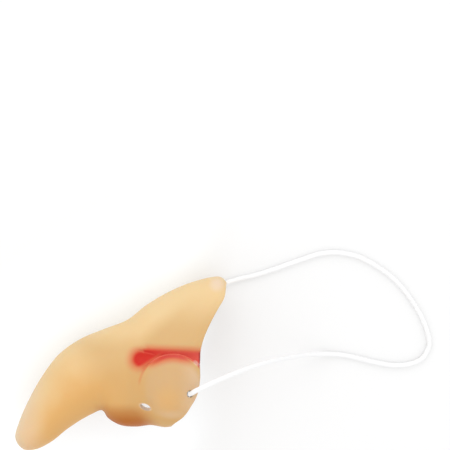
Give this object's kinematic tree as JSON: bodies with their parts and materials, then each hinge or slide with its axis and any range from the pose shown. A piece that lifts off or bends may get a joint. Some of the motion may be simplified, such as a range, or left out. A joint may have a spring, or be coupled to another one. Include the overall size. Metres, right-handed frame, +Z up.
{
  "type": "halloween fake nose",
  "caption": "Long drooping costume nose of soft vinyl, hollow and open to the face, with round wings and an elastic cord knotted inside them that goes round the head.",
  "frame": {"origin": "centre of the nose's bounding box on the surface it lies on", "axes": "+Z up as the nose lies on the wearer's right side, +X roughly from the tip to the open face side, +Y roughly from the underside to the top line"},
  "size_m": [0.1949, 0.0882, 0.0592],
  "materials": {
    "painted_vinyl": "satin flesh-coloured soft vinyl, sprayed red in the creases over the wings and warm orange-brown underneath",
    "white_elastic": "fine white braided round elastic"
  },
  "bodies": {
    "root": {"nose_shell": "painted_vinyl", "elastic_cord": "white_elastic", "knot_left": "white_elastic", "knot_right": "white_elastic"}
  },
  "joints": []
}
